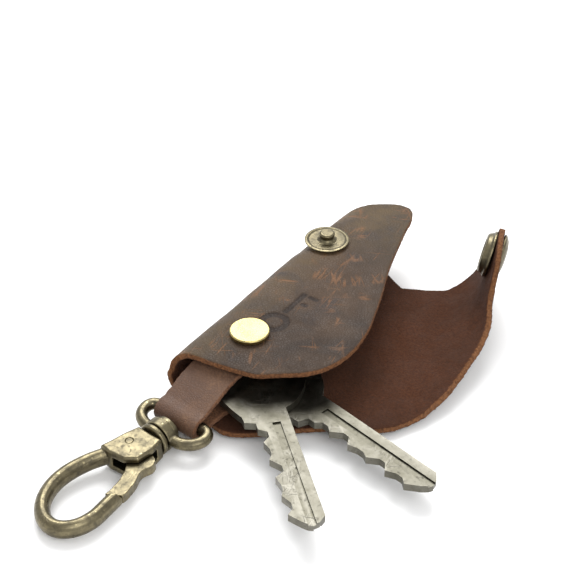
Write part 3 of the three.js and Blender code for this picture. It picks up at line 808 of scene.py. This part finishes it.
# %% [markdown]
# Antique plating is darkened all over and then rubbed back, so high places are pale brass and
# corners stay nearly black. The wear follows the shape itself, which is why the hardware was
# skinned finely first. The springs are bare drawn wire.

# %% aged hardware look
def aged_brass_material():
    material, tree, shader = new_material("aged_brass_plate")
    wear = use_group(tree, rubbed)
    spots = use_group(tree, patches, Scale=900.0, Low=0.5, High=0.68).outputs[0]
    scrape = use_group(tree, scratches, Scale=500.0, Width=0.03).outputs[0]
    colour = blend_colour(tree, wear.outputs["Proud"], (0.075, 0.066, 0.046), (0.24, 0.205, 0.12))
    colour = blend_colour(tree, scaled(tree, spots, 0.45), colour, (0.045, 0.042, 0.036))
    colour = blend_colour(tree, wear.outputs["Corner"], colour, (0.022, 0.02, 0.018))
    colour = blend_colour(tree, scaled(tree, scrape, 0.3), colour, (0.34, 0.29, 0.18))
    tree.links.new(colour, shader.inputs["Base Color"])
    rubbed_rough = span(tree, wear.outputs["Proud"], 0.0, 1.0, 0.42, 0.25)
    rough = maths(tree, "ADD", rubbed_rough, scaled(tree, spots, 0.15))
    tree.links.new(rough, shader.inputs["Roughness"])
    pits = noise_value(tree, object_place(tree), 1400.0, 4.0)
    bumped(tree, shader, maths(tree, "SUBTRACT", pits, scrape), 0.00004, 0.6)
    shader.inputs["Metallic"].default_value = 1.0
    return material


def spring_steel_material():
    material, tree, shader = new_material("drawn_spring_wire")
    haze = use_group(tree, patches, Scale=1200.0, Low=0.4, High=0.6).outputs[0]
    colour = blend_colour(tree, haze, (0.42, 0.42, 0.4), (0.6, 0.59, 0.56))
    tree.links.new(colour, shader.inputs["Base Color"])
    tree.links.new(span(tree, haze, 0.0, 1.0, 0.25, 0.4), shader.inputs["Roughness"])
    shader.inputs["Metallic"].default_value = 1.0
    return material


aged_look = aged_brass_material()
steel_look = spring_steel_material()
SPRING_NODES = ("snap_socket_spring", "gate_spring")
for node, piece in cast_pieces.items():
    dress(piece, steel_look if node in SPRING_NODES else aged_look)
print("dressed:", sorted(cast_pieces))

# %% [markdown]
# The screw is bright turned brass with fine rings from the lathe. The keys are nickel silver,
# dulled in patches and scratched along their blades by years of use.

# %% screw and key looks
def turned_brass_material():
    material, tree, shader = new_material("turned_brass")
    place = object_place(tree)
    sockets = {"Vector": place, "Scale": 900.0, "Distortion": 0.6, "Detail": 1.0}
    rings = add(tree, "ShaderNodeTexWave", sockets)
    rings.wave_type = "RINGS"
    rings.rings_direction = "Z"
    scrape = use_group(tree, scratches, Scale=420.0, Width=0.02).outputs[0]
    tint = use_group(tree, patches, Scale=380.0, Low=0.35, High=0.7).outputs[0]
    colour = blend_colour(tree, tint, (0.36, 0.29, 0.12), (0.44, 0.36, 0.155))
    colour = blend_colour(tree, scaled(tree, scrape, 0.4), colour, (0.26, 0.21, 0.1))
    tree.links.new(colour, shader.inputs["Base Color"])
    tree.links.new(span(tree, tint, 0.0, 1.0, 0.24, 0.36), shader.inputs["Roughness"])
    height = maths(tree, "SUBTRACT", rings.outputs["Fac"], scaled(tree, scrape, 1.5))
    bumped(tree, shader, height, 0.000012)
    shader.inputs["Metallic"].default_value = 1.0
    shader.inputs["Anisotropic"].default_value = 0.5
    return material


def nickel_material():
    material, tree, shader = new_material("worn_nickel_silver")
    broad = use_group(tree, patches, Scale=160.0, Low=0.35, High=0.7).outputs[0]
    spots = use_group(tree, patches, Scale=900.0, Low=0.55, High=0.7).outputs[0]
    scrape = use_group(tree, scratches, Scale=330.0, Width=0.028).outputs[0]
    wear = use_group(tree, rubbed, Low=0.5, High=0.6)
    colour = blend_colour(tree, broad, (0.07, 0.066, 0.05), (0.12, 0.114, 0.09))
    colour = blend_colour(tree, scaled(tree, spots, 0.45), colour, (0.04, 0.037, 0.028))
    colour = blend_colour(tree, scaled(tree, scrape, 0.5), colour, (0.22, 0.21, 0.18))
    colour = blend_colour(tree, scaled(tree, wear.outputs["Proud"], 0.6), colour, (0.22, 0.21, 0.18))
    tree.links.new(colour, shader.inputs["Base Color"])
    rough = maths(tree, "ADD", span(tree, broad, 0.0, 1.0, 0.34, 0.46), scaled(tree, spots, 0.15))
    tree.links.new(rough, shader.inputs["Roughness"])
    pits = noise_value(tree, object_place(tree), 1800.0, 3.0)
    bumped(tree, shader, maths(tree, "SUBTRACT", pits, scaled(tree, scrape, 1.5)), 0.00003, 0.7)
    shader.inputs["Metallic"].default_value = 1.0
    return material


turned_look = turned_brass_material()
nickel_look = nickel_material()
for piece in screw_pieces.values():
    dress(piece, turned_look)
for piece in key_pieces.values():
    dress(piece, nickel_look)
print("materials:", [m.name for m in bpy.data.materials if m.use_nodes])

# %% [markdown]
# A pale table and soft light: one broad lamp above and behind, one weaker from the left and
# a bright even surround, so shadows stay faint and the metal has something to reflect.

# %% stage and light
def lamp(name, place, aim, size, power):
    data = bpy.data.lights.new(name, "AREA")
    data.shape = "SQUARE"
    data.size = size
    data.energy = power
    item = bpy.data.objects.new(name, data)
    bpy.context.collection.objects.link(item)
    item.location = place
    item.rotation_euler = (Vector(aim) - Vector(place)).to_track_quat("-Z", "Y").to_euler()
    return item


SURROUND_STRENGTH = 0.85
FLOOR_HALF = 6.0
FLOOR_GAP = 0.0002
lamp("key_light", (-0.35, 0.45, 0.75), (0, 0, 0), 0.6, 9.0)
lamp("fill_light", (0.55, -0.35, 0.5), (0, 0, 0), 0.6, 3.0)
world = bpy.data.worlds.new("even_surround")
bpy.context.scene.world = world
world.use_nodes = True
world.node_tree.nodes["Background"].inputs["Color"].default_value = (1.0, 1.0, 1.0, 1.0)
world.node_tree.nodes["Background"].inputs["Strength"].default_value = SURROUND_STRENGTH
bpy.context.scene.view_settings.view_transform = "Standard"
floor_z = float(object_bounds()[0][2]) - FLOOR_GAP
floor_signs = ((-1, -1), (1, -1), (1, 1), (-1, 1))
floor_corners = [(FLOOR_HALF * x, FLOOR_HALF * y, floor_z) for x, y in floor_signs]
floor = piece_from("pale_table", floor_corners, [(0, 1, 2, 3)])
floor_look, floor_tree, floor_shader = new_material("pale_table_paint")
floor_shader.inputs["Base Color"].default_value = (0.92, 0.92, 0.92, 1.0)
floor_shader.inputs["Roughness"].default_value = 0.8
dress(floor, floor_look)
print("table height:", round(floor_z * 1000, 2), "mm")
